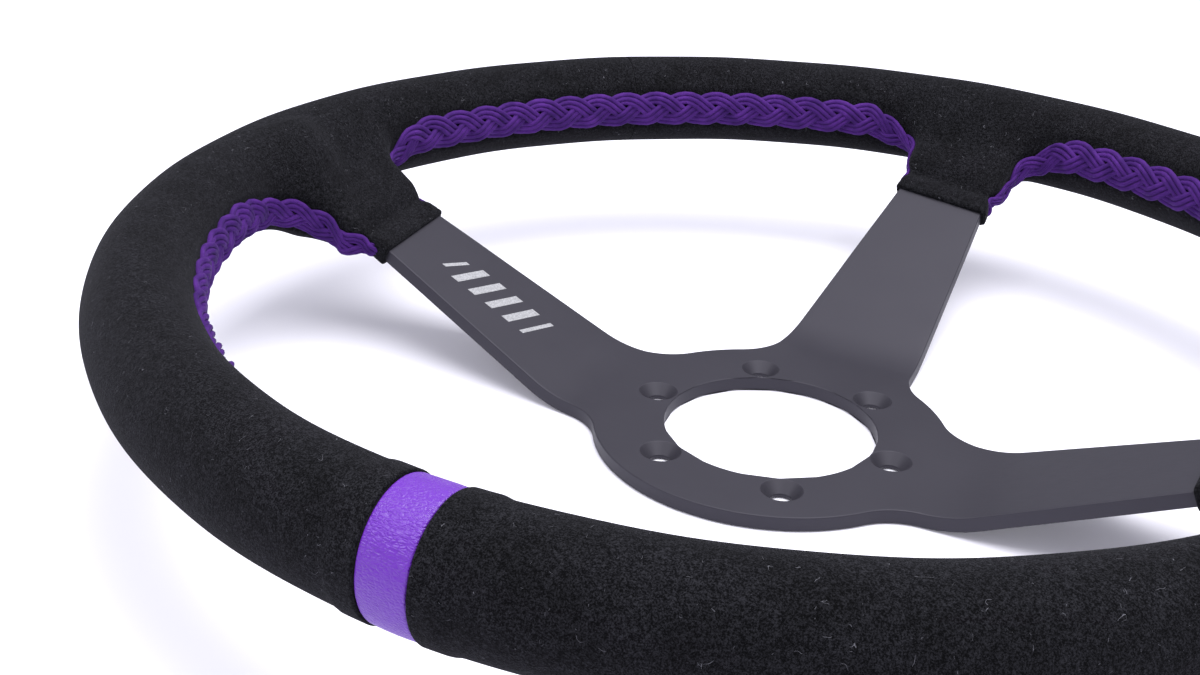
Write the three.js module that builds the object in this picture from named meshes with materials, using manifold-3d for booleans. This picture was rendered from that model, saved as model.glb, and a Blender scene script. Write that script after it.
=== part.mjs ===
// A 350 mm deep-dish motorsport steering wheel with three spokes.
//
// Row frame, in millimetres: +Z runs up the wheel's axis towards the driver, +Y points to the top
// of the wheel (12 o'clock) and +X to the driver's right (3 o'clock). The origin is the centre of
// the bore on the hub's back face, the flat face that is bolted to a hub.

import * as THREE from 'three';
import { mergeVertices } from 'three/addons/utils/BufferGeometryUtils.js';
import Module from 'manifold-3d';

// ---------------------------------------------------------------- driving dimensions

const RIM_DIAMETER = 350;
const GRIP_WIDTH = 27; // across the grip, along the wheel's radius
const GRIP_HEIGHT = 29; // across the grip, along the wheel's axis
const PLATE = 4; // thickness of the hub and spoke plate
const DISH = 45; // from the hub's front face to the middle of the rim

const HUB_DIAMETER = 97;
const BORE_DIAMETER = 58;
const BOLT_CIRCLE = 70;
const BOLT_COUNT = 6;
const BOLT_HOLE = 5.5;
const COUNTERSINK = 11;

const BEND_RADIUS = 14; // at the plate's middle surface
const BEND_AT = 58; // distance from the axis where the spokes leave the hub's plane
const SPOKE_RISE = 0.45; // height gained for each millimetre outwards
const SPOKE_HALF_WIDTH = 25.75; // half the width that the tapering sides would have at the axis
const SPOKE_TAPER = 0.09; // half width lost for each millimetre outwards
const SPOKE_TIP = 169; // distance of the spoke's riveted end from the axis
const HUB_FILLET = 12; // between the hub's round edge and a spoke's side

const CORE_INNER = 154.5; // the flat ring inside the grip
const CORE_OUTER = 170;
const CORE_THICKNESS = 4;

const RIVET_SHANK = 4.8;
const RIVET_HEAD = 8;
const RIVET_HEAD_HEIGHT = 1.8;
const RIVET_SHOULDER = { across: 0.75, up: 0.65 }; // share of the head's radius and height
const RIVET_AT = 162; // distance from the axis
const RIVET_SPREAD = 6.3; // each side of the spoke's middle

const SKIN = 1; // suede and leather
const PADDING = 1; // foam over the spokes inside a collar
const GAP = 0.3; // clearance between pieces that touch
const COLLAR_FILLET = 18; // between a collar's side and the rim, in plan
const COLLAR_SPREAD = 15; // degrees each side of a spoke that its collar and flare take up
const ROOT_DEPTH = 8; // how far a collar's solid runs on inside the grip
const SLOT = 1.5; // gap where the cover's two edges meet under the lacing
const LACING = 1.4; // thickness of the lacing
const LACING_WIDTH = 12;
const COLLAR_LACING_WIDTH = 8;
const BAND_REACH = { outwards: 8, inwards: 5, collar: 3 }; // of a band, past the cover's surface

const STRIPE_WIDTH = 11;
const STRIPE_AZIMUTH = 91.6; // degrees from 3 o'clock, a little past the top
const SEAM = 1.2; // sewn joint between two pieces of the cover
const SEAM_THREAD = 0.6;
const LOWER_SEAM_AZIMUTHS = { right: -45, left: -135 };

// The stretches between seams and between spokes, in degrees, each wedge under 180.
const PANELS = {
  right: [[LOWER_SEAM_AZIMUTHS.right, 60], [50, STRIPE_AZIMUTH]],
  bottom: [[LOWER_SEAM_AZIMUTHS.left, LOWER_SEAM_AZIMUTHS.right]],
  left: [[STRIPE_AZIMUTH, 150], [140, 360 + LOWER_SEAM_AZIMUTHS.left]],
};
const WINDOWS = {
  top: [[0, 100], [90, 180]],
  lower_right: [[-90, 0]],
  lower_left: [[180, 270]],
};

// Each spoke's direction in degrees from 3 o'clock, and where its collar ends.
const SPOKES = {
  right: { azimuth: 0, collarEnd: 121 },
  bottom: { azimuth: -90, collarEnd: 122 },
  left: { azimuth: 180, collarEnd: 110 },
};

const RING_STEPS = 60;
const SECTION_STEPS = 14;
const ARC_STEPS = 5;
const HOLE_STEPS = 18;
const RIVET_STEPS = 12;
const BORE_STEPS = 42;
const WEDGE_STEPS = 4;

// ---------------------------------------------------------------- worked-out places

const RIM_RADIUS = (RIM_DIAMETER - GRIP_WIDTH) / 2; // centre line of the grip
const RIM_Z = PLATE + DISH;
const GRIP_INNER = RIM_RADIUS - GRIP_WIDTH / 2;
const MIDDLE_Z = PLATE / 2;
const SPOKE_ANGLE = Math.atan(SPOKE_RISE);
const CORE_BOTTOM = RIM_Z - CORE_THICKNESS / 2;
const CORE_TOP = RIM_Z + CORE_THICKNESS / 2;
const SPOKE_END_Z = CORE_BOTTOM - GAP - PLATE / 2; // middle surface of the riveted end
const UPPER_BEND_AT = BEND_AT + (SPOKE_END_Z - MIDDLE_Z) / SPOKE_RISE;
const COLLAR_WALL = PADDING + SKIN + 2 * GAP; // from the plate's surface to the collar's
const COLLAR_ROOT = GRIP_INNER + ROOT_DEPTH;
const MARGIN = 60; // how far a cutting block reaches past what it cuts
const OVERCUT = 1; // how far a drilled hole's tool reaches past the plate

const { cos, sin, sqrt, tan, PI, atan2 } = Math;
const radians = THREE.MathUtils.degToRad;
const degrees = THREE.MathUtils.radToDeg;

const wasm = await Module();
wasm.setup();

// ---------------------------------------------------------------- solids

/** A closed three.js geometry as a solid. */
function solid(geometry) {
  const bare = geometry.clone();
  bare.deleteAttribute('normal');
  bare.deleteAttribute('uv');
  const merged = mergeVertices(bare);
  return new wasm.Manifold(new wasm.Mesh({
    numProp: 3,
    vertProperties: new Float32Array(merged.attributes.position.array),
    triVerts: new Uint32Array(merged.index.array),
  }));
}

/** A solid as a three.js geometry. */
function geometryOf(body) {
  const { vertProperties, triVerts } = body.getMesh();
  const geometry = new THREE.BufferGeometry();
  geometry.setAttribute('position', new THREE.BufferAttribute(vertProperties, 3));
  geometry.setIndex(new THREE.BufferAttribute(triVerts, 1));
  geometry.computeVertexNormals();
  return geometry;
}

const join = (bodies) => bodies.reduce((all, body) => all.add(body));
const cut = (body, tools) => tools.reduce((rest, tool) => rest.subtract(tool), body);

/** Points on an arc, in degrees measured at its centre. */
function arc(x, y, radius, from, to, steps = ARC_STEPS) {
  return Array.from({ length: steps + 1 }, (_, i) => {
    const angle = radians(from + ((to - from) * i) / steps);
    return new THREE.Vector2(x + radius * cos(angle), y + radius * sin(angle));
  });
}

/** A prism standing on an outline in the XY plane, between two heights. */
function prism(outline, low, high) {
  const options = { depth: high - low, bevelEnabled: false };
  const geometry = new THREE.ExtrudeGeometry(new THREE.Shape(outline), options);
  return solid(geometry.translate(0, 0, low));
}

/** A ring whose section is given as (distance from the axis, height) points. */
function ring(section, steps = RING_STEPS) {
  const closed = [...section, section[0]];
  return solid(new THREE.LatheGeometry(closed, steps).rotateX(PI / 2));
}

/** A round piece on the Z axis from its half section, which starts and ends on the axis. */
function turned(halfSection, steps = HOLE_STEPS) {
  return solid(new THREE.LatheGeometry(halfSection, steps).rotateX(PI / 2));
}

/** A cylinder or cone on the Z axis. */
function round(lowRadius, highRadius, low, high, steps = HOLE_STEPS) {
  const geometry = new THREE.CylinderGeometry(highRadius, lowRadius, high - low, steps);
  return solid(geometry.rotateX(PI / 2).translate(0, 0, (low + high) / 2));
}

/** A rectangular block between two corners. */
function block(low, high) {
  const size = new THREE.Vector3().subVectors(high, low);
  const geometry = new THREE.BoxGeometry(size.x, size.y, size.z);
  return solid(geometry.translate(low.x + size.x / 2, low.y + size.y / 2, low.z + size.z / 2));
}

const turn = (body, azimuth) => body.rotate([0, 0, azimuth]);

// ---------------------------------------------------------------- hub and spoke plate

const halfWidth = (distance) => SPOKE_HALF_WIDTH - SPOKE_TAPER * distance;

/**
 * The centre of an arc that rounds the corner between a spoke's straight side and a circle about
 * the axis. The side is moved outwards by `wider`, and `centreDistance` is the arc centre's
 * distance from the axis.
 */
function cornerCentre(radius, wider, centreDistance) {
  const slant = sqrt(1 + SPOKE_TAPER ** 2);
  const reach = SPOKE_HALF_WIDTH + wider + radius * slant;
  const a = 1 + SPOKE_TAPER ** 2;
  const b = -2 * SPOKE_TAPER * reach;
  const c = reach ** 2 - centreDistance ** 2;
  const x = (-b + sqrt(b ** 2 - 4 * a * c)) / (2 * a);
  return new THREE.Vector2(x, reach - SPOKE_TAPER * x);
}

/** Direction from such an arc's centre to the spoke's side, in degrees. */
const sideDirection = -90 - degrees(Math.atan(SPOKE_TAPER));

const mirrored = (points) => points.map(({ x, y }) => new THREE.Vector2(x, -y)).reverse();

/** Plan outline of one spoke with its fillets into the hub, drawn along +X. */
function spokeOutline(grow) {
  const hubRadius = HUB_DIAMETER / 2 + grow;
  const fillet = HUB_FILLET - grow;
  const centre = cornerCentre(fillet, grow, hubRadius + fillet);
  const towardsHub = degrees(atan2(-centre.y, -centre.x));
  const tip = SPOKE_TIP + grow;
  const upperSide = [
    new THREE.Vector2(tip, halfWidth(tip) + grow),
    ...arc(centre.x, centre.y, fillet, sideDirection, towardsHub),
  ];
  return [...mirrored(upperSide), ...upperSide];
}

/** Side view of one spoke, as (distance from the axis, height) points. */
function spokeProfile(grow) {
  const half = PLATE / 2 + grow;
  const bend = BEND_RADIUS * tan(SPOKE_ANGLE / 2);
  const angle = degrees(SPOKE_ANGLE);
  const lowerBend = { x: BEND_AT - bend, y: MIDDLE_Z + BEND_RADIUS };
  const upperBend = { x: UPPER_BEND_AT + bend, y: SPOKE_END_Z - BEND_RADIUS };
  const tip = SPOKE_TIP + grow;
  const face = (side) => [
    new THREE.Vector2(0, MIDDLE_Z + side * half),
    ...arc(lowerBend.x, lowerBend.y, BEND_RADIUS - side * half, -90, -90 + angle),
    ...arc(upperBend.x, upperBend.y, BEND_RADIUS + side * half, 90 + angle, 90),
    new THREE.Vector2(tip, SPOKE_END_Z + side * half),
  ];
  return [...face(-1), ...face(1).reverse()];
}

function spoke(azimuth, grow) {
  const width = HUB_DIAMETER;
  const options = { depth: width, bevelEnabled: false };
  const side = new THREE.ExtrudeGeometry(new THREE.Shape(spokeProfile(grow)), options);
  const sheet = solid(side.rotateX(PI / 2).translate(0, width / 2, 0));
  return turn(sheet.intersect(prism(spokeOutline(grow), -MARGIN, RIM_DIAMETER)), azimuth);
}

function plateSolid(grow = 0) {
  const hubRadius = HUB_DIAMETER / 2 + grow;
  const hub = round(hubRadius, hubRadius, -grow, PLATE + grow, BORE_STEPS * 2);
  return join([hub, ...Object.values(SPOKES).map(({ azimuth }) => spoke(azimuth, grow))]);
}

function boltHole() {
  const sink = (COUNTERSINK - BOLT_HOLE) / 2; // a 90 degree countersink
  return join([
    round(BOLT_HOLE / 2, BOLT_HOLE / 2, -OVERCUT, PLATE + OVERCUT),
    round(BOLT_HOLE / 2, COUNTERSINK / 2 + OVERCUT, PLATE - sink, PLATE + OVERCUT),
  ]);
}

// ---------------------------------------------------------------- rivets

/** Where the rivets stand: two side by side at each spoke's end. */
const rivetPlaces = Object.entries(SPOKES).flatMap(([name, { azimuth }]) => [1, -1].map((side) => ({
  name: `rivet_${name}_${side > 0 ? 'a' : 'b'}`,
  place: (body) => turn(body.translate([RIVET_AT, side * RIVET_SPREAD, 0]), azimuth),
})));

const RIVET_LOW = SPOKE_END_Z - PLATE / 2 - GAP;
const RIVET_HIGH = CORE_TOP + GAP;

function rivet(grow = 0) {
  const shank = RIVET_SHANK / 2 + grow;
  const head = RIVET_HEAD / 2 + grow;
  const shoulder = head * RIVET_SHOULDER.across;
  const rise = RIVET_HEAD_HEIGHT + grow;
  const shoulderRise = rise * RIVET_SHOULDER.up;
  return turned([
    new THREE.Vector2(0, RIVET_LOW - rise),
    new THREE.Vector2(shoulder, RIVET_LOW - shoulderRise),
    new THREE.Vector2(head, RIVET_LOW + grow),
    new THREE.Vector2(shank, RIVET_LOW + grow),
    new THREE.Vector2(shank, RIVET_HIGH - grow),
    new THREE.Vector2(head, RIVET_HIGH - grow),
    new THREE.Vector2(shoulder, RIVET_HIGH + shoulderRise),
    new THREE.Vector2(0, RIVET_HIGH + rise),
  ], RIVET_STEPS);
}

const RIVET_HOLE = RIVET_SHANK / 2 + GAP;
const rivetHole = round(RIVET_HOLE, RIVET_HOLE, RIVET_LOW, RIVET_HIGH, RIVET_STEPS);

// ---------------------------------------------------------------- core, foam and covers

function coreSolid(grow = 0) {
  return ring([
    new THREE.Vector2(CORE_INNER - grow, CORE_BOTTOM - grow),
    new THREE.Vector2(CORE_OUTER + grow, CORE_BOTTOM - grow),
    new THREE.Vector2(CORE_OUTER + grow, CORE_TOP + grow),
    new THREE.Vector2(CORE_INNER - grow, CORE_TOP + grow),
  ]);
}

/** The grip's ring, moved outwards by `grow`. */
function gripRing(grow) {
  const points = Array.from({ length: SECTION_STEPS }, (_, i) => {
    const angle = (2 * PI * i) / SECTION_STEPS;
    return new THREE.Vector2(
      RIM_RADIUS + (GRIP_WIDTH / 2 + grow) * cos(angle),
      RIM_Z + (GRIP_HEIGHT / 2 + grow) * sin(angle),
    );
  });
  return ring(points);
}

/** A slab that follows a spoke's slope, `half` above and below the spoke's middle surface. */
function slopedSlab(outline, half) {
  const tall = half / cos(SPOKE_ANGLE);
  const options = { depth: 2 * tall, bevelEnabled: false };
  const geometry = new THREE.ExtrudeGeometry(new THREE.Shape(outline), options);
  const shear = new THREE.Matrix4().set(
    1, 0, 0, 0,
    0, 1, 0, 0,
    SPOKE_RISE, 0, 1, MIDDLE_Z - tall - SPOKE_RISE * BEND_AT,
    0, 0, 0, 1,
  );
  return solid(geometry.applyMatrix4(shear));
}

/** Plan outline of a collar, flaring out to the rim, drawn along +X. */
function collarOutline(grow, end) {
  const wider = COLLAR_WALL + grow;
  const fillet = COLLAR_FILLET - grow;
  const centre = cornerCentre(fillet, wider, GRIP_INNER - COLLAR_FILLET);
  const outwards = degrees(atan2(centre.y, centre.x));
  const shift = degrees(grow / COLLAR_FILLET); // keeps the flare's outer end clear as well
  const upperSide = [
    new THREE.Vector2(COLLAR_ROOT, COLLAR_ROOT * tan(radians(outwards)) + grow),
    ...arc(centre.x, centre.y, fillet, outwards + shift, sideDirection),
    new THREE.Vector2(end, halfWidth(end) + wider),
  ];
  return [...upperSide, ...mirrored(upperSide)];
}

/** The grip and its three collars, moved outwards by `grow`; `reach` lengthens the collars. */
function wrapSolid(grow, reach = 0) {
  const half = PLATE / 2 + COLLAR_WALL + grow;
  const collars = Object.values(SPOKES).map(({ azimuth, collarEnd }) =>
    turn(slopedSlab(collarOutline(grow, collarEnd - reach), half), azimuth));
  return join([gripRing(grow), ...collars]);
}

/** A slab across the grip at an azimuth, `offset` to its left and `width` thick. */
function slice(azimuth, offset, width) {
  const low = new THREE.Vector3(GRIP_INNER - MARGIN, offset - width / 2, -MARGIN);
  const high = new THREE.Vector3(RIM_DIAMETER, offset + width / 2, RIM_DIAMETER);
  return turn(block(low, high), azimuth);
}

/** Everything between two azimuths that are less than 180 degrees apart. */
function wedge(from, to) {
  const far = RIM_DIAMETER * 2;
  const corners = [new THREE.Vector2(0, 0), ...arc(0, 0, far, from, to, WEDGE_STEPS)];
  return prism(corners, -MARGIN, RIM_DIAMETER);
}

const aroundCollars = Object.values(SPOKES).map(({ azimuth }) =>
  wedge(azimuth - COLLAR_SPREAD, azimuth + COLLAR_SPREAD));

/** A band round the inside of the rim, and along the sides of the collars. */
function innerBand(rimWidth, collarWidth) {
  const inner = GRIP_INNER - BAND_REACH.outwards;
  const outer = GRIP_INNER + BAND_REACH.inwards;
  const rimBand = ring([
    new THREE.Vector2(inner, RIM_Z - rimWidth / 2),
    new THREE.Vector2(outer, RIM_Z - rimWidth / 2),
    new THREE.Vector2(outer, RIM_Z + rimWidth / 2),
    new THREE.Vector2(inner, RIM_Z + rimWidth / 2),
  ]);
  const sides = Object.values(SPOKES).map(({ azimuth, collarEnd }) =>
    turn(slopedSlab(collarOutline(BAND_REACH.collar, collarEnd - OVERCUT), collarWidth / 2),
      azimuth));
  return join([cut(rimBand, aroundCollars), ...sides]);
}

const skin = wrapSolid(0).subtract(wrapSolid(-SKIN, MARGIN));
const slot = innerBand(SLOT, SLOT);
const cover = skin.subtract(slot);

/** The piece of suede over some part of the rim, cut back for its seams. */
function panel(ranges) {
  const sector = join(ranges.map(([from, to]) => wedge(from, to)));
  const seams = [
    slice(STRIPE_AZIMUTH, 0, STRIPE_WIDTH + 2 * SEAM),
    ...Object.values(LOWER_SEAM_AZIMUTHS).map((azimuth) => slice(azimuth, 0, SEAM)),
  ];
  return cut(cover.intersect(sector), seams);
}

const threadShell = wrapSolid(-(SKIN - SEAM_THREAD) / 2)
  .subtract(wrapSolid(-(SKIN + SEAM_THREAD) / 2))
  .subtract(slot);

const seamThread = (azimuth, offset) =>
  threadShell.intersect(slice(azimuth, offset, SEAM_THREAD));

const foam = cut(wrapSolid(-SKIN - GAP, -GAP - PADDING), [
  coreSolid(GAP),
  plateSolid(GAP),
  ...rivetPlaces.map(({ place }) => place(rivet(GAP))),
]);

const laces = wrapSolid(GAP + LACING)
  .subtract(wrapSolid(GAP, LACING))
  .intersect(innerBand(LACING_WIDTH, COLLAR_LACING_WIDTH));

const laceIn = (ranges) => laces.intersect(join(ranges.map(([from, to]) => wedge(from, to))));

// ---------------------------------------------------------------- materials and nodes

const finish = (color, roughness, metalness) =>
  new THREE.MeshStandardMaterial({ color, roughness, metalness });

const anodised = finish(0x34343a, 0.45, 0.7);
const bareAluminium = finish(0xb9bbbe, 0.4, 0.9);
const polyurethane = finish(0x26262a, 0.9, 0);
const suede = finish(0x1b1b1f, 0.95, 0);
const purpleLeather = finish(0x7a3cd6, 0.5, 0);
const purpleThread = finish(0x5a2f96, 0.7, 0);
const blackThread = finish(0x141416, 0.8, 0);

const wheel = new THREE.Group();

function addNode(name, body, material) {
  const mesh = new THREE.Mesh(geometryOf(body), material);
  mesh.name = name;
  wheel.add(mesh);
}

const boreRadius = BORE_DIAMETER / 2;
const bore = round(boreRadius, boreRadius, -OVERCUT, PLATE + OVERCUT, BORE_STEPS);
const boltHoles = Array.from({ length: BOLT_COUNT }, (_, i) =>
  turn(boltHole().translate([BOLT_CIRCLE / 2, 0, 0]), (360 * i) / BOLT_COUNT));
const rivetHoles = rivetPlaces.map(({ place }) => place(rivetHole));

addNode('spoke_plate', cut(plateSolid(), [bore, ...boltHoles, ...rivetHoles]), anodised);
addNode('rim_core_ring', cut(coreSolid(), rivetHoles), bareAluminium);
rivetPlaces.forEach(({ name, place }) => addNode(name, place(rivet()), bareAluminium));
addNode('grip_foam', foam, polyurethane);

for (const [name, ranges] of Object.entries(PANELS)) {
  addNode(`suede_panel_${name}`, panel(ranges), suede);
}

const stripe = cover.intersect(slice(STRIPE_AZIMUTH, 0, STRIPE_WIDTH));
addNode('centre_stripe', stripe, purpleLeather);

const seamOffset = (STRIPE_WIDTH + SEAM) / 2;
addNode('stripe_seam_thread_right', seamThread(STRIPE_AZIMUTH, -seamOffset), blackThread);
addNode('stripe_seam_thread_left', seamThread(STRIPE_AZIMUTH, seamOffset), blackThread);
for (const [name, azimuth] of Object.entries(LOWER_SEAM_AZIMUTHS)) {
  addNode(`lower_seam_thread_${name}`, seamThread(azimuth, 0), blackThread);
}

for (const [name, ranges] of Object.entries(WINDOWS)) {
  addNode(`lacing_${name}`, laceIn(ranges), purpleThread);
}

export default wheel;
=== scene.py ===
"""A deep-dish motorsport steering wheel lying on a pale studio table.

Lengths are in millimetres until a mesh is made. The frame is the CAD's: +Z is the wheel's axis
towards the driver, +Y the top of the wheel (12 o'clock), +X the driver's right (3 o'clock).
"""

import math

import bmesh
import bpy
import numpy as np
from mathutils import Matrix, Vector
from mathutils.geometry import delaunay_2d_cdt
from mathutils.kdtree import KDTree


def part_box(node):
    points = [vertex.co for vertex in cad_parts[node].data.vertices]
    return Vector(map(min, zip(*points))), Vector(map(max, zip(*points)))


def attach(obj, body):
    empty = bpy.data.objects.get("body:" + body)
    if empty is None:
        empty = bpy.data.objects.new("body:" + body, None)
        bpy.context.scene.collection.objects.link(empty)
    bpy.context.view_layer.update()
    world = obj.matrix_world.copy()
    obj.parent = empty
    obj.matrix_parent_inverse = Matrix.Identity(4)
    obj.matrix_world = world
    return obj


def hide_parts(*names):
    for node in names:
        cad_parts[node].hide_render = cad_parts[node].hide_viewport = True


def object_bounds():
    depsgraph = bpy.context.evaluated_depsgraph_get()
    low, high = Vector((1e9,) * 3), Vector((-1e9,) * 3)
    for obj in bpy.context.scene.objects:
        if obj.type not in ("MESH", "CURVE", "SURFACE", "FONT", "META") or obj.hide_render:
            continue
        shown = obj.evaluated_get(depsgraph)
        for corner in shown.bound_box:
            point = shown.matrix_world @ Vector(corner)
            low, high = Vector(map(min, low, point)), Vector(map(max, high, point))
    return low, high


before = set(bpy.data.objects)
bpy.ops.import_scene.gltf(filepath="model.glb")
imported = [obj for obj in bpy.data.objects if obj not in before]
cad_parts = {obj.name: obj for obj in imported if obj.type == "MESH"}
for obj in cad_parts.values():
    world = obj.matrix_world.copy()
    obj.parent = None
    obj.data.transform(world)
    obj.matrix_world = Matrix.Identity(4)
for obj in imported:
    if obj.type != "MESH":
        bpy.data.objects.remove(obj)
cad_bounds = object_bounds()
MM = 0.001


def cad_box(node):
    """A CAD node's lowest and highest corners, in millimetres."""
    low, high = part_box(node)
    return np.array(low) / MM, np.array(high) / MM


# ------------------------------------------------------------------ dimensions

core_low, core_high = cad_box("rim_core_ring")
_, plate_high = cad_box("spoke_plate")

RIM_OUTER = cad_bounds[1].x / MM
RIM_Z = (core_low[2] + core_high[2]) / 2
CORE_INNER = 154.5
GRIP_WIDTH, GRIP_HEIGHT = 27.0, 29.0
RIM_RADIUS = RIM_OUTER - GRIP_WIDTH / 2
GRIP_INNER = RIM_OUTER - GRIP_WIDTH

PLATE = 4.0
HUB_RADIUS = plate_high[1]
BORE_RADIUS = 29.0
BOLT_CIRCLE_RADIUS = 35.0
BOLT_HOLE_RADIUS = 2.75
COUNTERSINK_RADIUS = 5.5
HUB_BEND_RADIUS = 36.0
RIM_BEND_RADIUS = 14.0
BEND_AT = 58.0
SPOKE_RISE = 0.45
SPOKE_ANGLE = math.atan(SPOKE_RISE)
SPOKE_END_Z = plate_high[2] - PLATE / 2
UPPER_BEND_AT = BEND_AT + (SPOKE_END_Z - PLATE / 2) / SPOKE_RISE
SPOKE_HALF_WIDTH = 25.75
SPOKE_TAPER = 0.09
SPOKE_TIP = plate_high[0]
HUB_FILLET = 17.0

COLLAR_WALL = 2.8
HEM_WALL = 1.5  # the last stretch of a collar has no padding under it
HEM_LENGTH = 8.0
HEM_RAMP = 6.0
HEM_GROOVE = 0.8  # the crease where the padding begins
COLLAR_GROWTH = 0.2  # how the padding thickens towards the rim
FLARE = 7.0
THUMB_FLARE = 17.0  # the wider flare over the two side spokes, where thumbs rest
THUMB_WIDTH = 3.2
THUMB_DEPTH = 1.5
SKIN = 0.9
FOAM_DEPTH = 1.1

STRIPE_AZIMUTH = math.radians(91.6)
STRIPE_HALF_WIDTH = 5.5
SEAM_GAP = 0.12  # between the stripe and the suede, on each side
LOWER_SEAMS = (math.radians(-45), math.radians(-135))

# Each spoke's azimuth, how far from the axis its collar ends, and the slant of that end.
SPOKES = {
    "right": (0.0, 121.0, -0.13),
    "bottom": (-math.pi / 2, 123.7, 0.13),
    "left": (math.pi, 111.5, 0.0),
}
# By azimuth, the side of the spoke that has a thumb rest: 1 anticlockwise, -1 clockwise, 0 none.
THUMB_SIDE = {0.0: 1, -math.pi / 2: 0, math.pi: -1}
COLLAR_END_EDGE = 0.8  # rounding of the folded edge at a collar's end

LACE_PITCH = 10.4
LACE_HALF_WIDTH = 3.85
LACE_THREAD_RADIUS = 0.8
LACE_STRANDS = 3
LACE_THREADS = 3
LACE_RISE = 0.55  # how far strands go over and under each other
LACE_HEIGHT = 0.45
LACE_DIVE = 0.7  # how far a strand sinks where it turns at the band's edge
LACE_SPACING = 1.9  # between a strand's threads, in thread radii
LACE_CENTRE_LIFT = 0.12  # how far a strand's middle thread stands proud
LACE_TUCK = 1.6  # how far the lacing's ends sink into the cover
LACE_SAMPLE = 0.6
LACE_Z = {
    "lacing_top": RIM_Z - 1.0,
    "lacing_lower_left": RIM_Z + 1.0,
    "lacing_lower_right": RIM_Z,
}
# Along a collar, plainly and under a thumb rest: how far below the plate's middle the lacing
# runs, how far it takes to climb from there to the rim's inside, and how wide it is.
LACE_DROP = (2.4, 4.2)
LACE_RAMP = (22.0, 48.0)
COLLAR_LACE_SCALE = (0.66, 0.78)
LACE_END = 3.0  # how far the lacing stops short of a collar's end
STRAIGHT_STEPS, ARC_STEPS = 30, 60  # points of the lacing's line along a collar and its flare

# How the lacing pulls the cover in: a shallow band with a groove along its middle.
PULL_REACH = 9.0
PULL_HALF_WIDTH = 7.4
PULL_FADE = 2.2
PULL_DEPTH = 0.55
GROOVE_DEPTH = 0.7
GROOVE_WIDTH = 0.9

CAMERA_POSITION = (-145.4, 347.3, 199.9)
CAMERA_TARGET = (18.2, 63.5, 49.0)
CAMERA_ROLL = math.radians(2.53)
CAMERA_LENS = 46.35


# ------------------------------------------------------------------ camera, light and floor


def make_camera():
    data = bpy.data.cameras.new("camera")
    data.lens = CAMERA_LENS
    data.sensor_width = 36.0
    data.clip_start = 0.01
    camera = bpy.data.objects.new("camera", data)
    bpy.context.collection.objects.link(camera)
    position = Vector(CAMERA_POSITION) * MM
    forward = (Vector(CAMERA_TARGET) * MM - position).normalized()
    level = forward.cross(Vector((0, 0, 1))).normalized()
    lift = level.cross(forward)
    right = math.cos(CAMERA_ROLL) * level + math.sin(CAMERA_ROLL) * lift
    up = right.cross(forward)
    turn = Matrix((right, up, -forward)).transposed()
    camera.matrix_world = Matrix.Translation(position) @ turn.to_4x4()
    bpy.context.scene.camera = camera


def make_light(name, power, size, place, towards, shadow=True):
    data = bpy.data.lights.new(name, "AREA")
    data.energy = power
    data.size = size
    data.use_shadow = shadow
    lamp = bpy.data.objects.new(name, data)
    bpy.context.collection.objects.link(lamp)
    lamp.location = place
    lamp.rotation_euler = (Vector(towards) - Vector(place)).to_track_quat("-Z", "Y").to_euler()


def make_world():
    world = bpy.data.worlds.new("studio")
    world.use_nodes = True
    background = world.node_tree.nodes["Background"]
    background.inputs["Color"].default_value = (0.90, 0.90, 1.0, 1.0)
    background.inputs["Strength"].default_value = 0.82
    bpy.context.scene.world = world


def make_floor():
    half = 4.0
    corners = [(-half, -half, 0), (half, -half, 0), (half, half, 0), (-half, half, 0)]
    mesh = bpy.data.meshes.new("floor")
    mesh.from_pydata(corners, [], [(0, 1, 2, 3)])
    mesh.materials.append(floor_material())
    floor = bpy.data.objects.new("floor", mesh)
    floor.location.z = -0.0002
    bpy.context.collection.objects.link(floor)


# ------------------------------------------------------------------ materials


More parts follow.
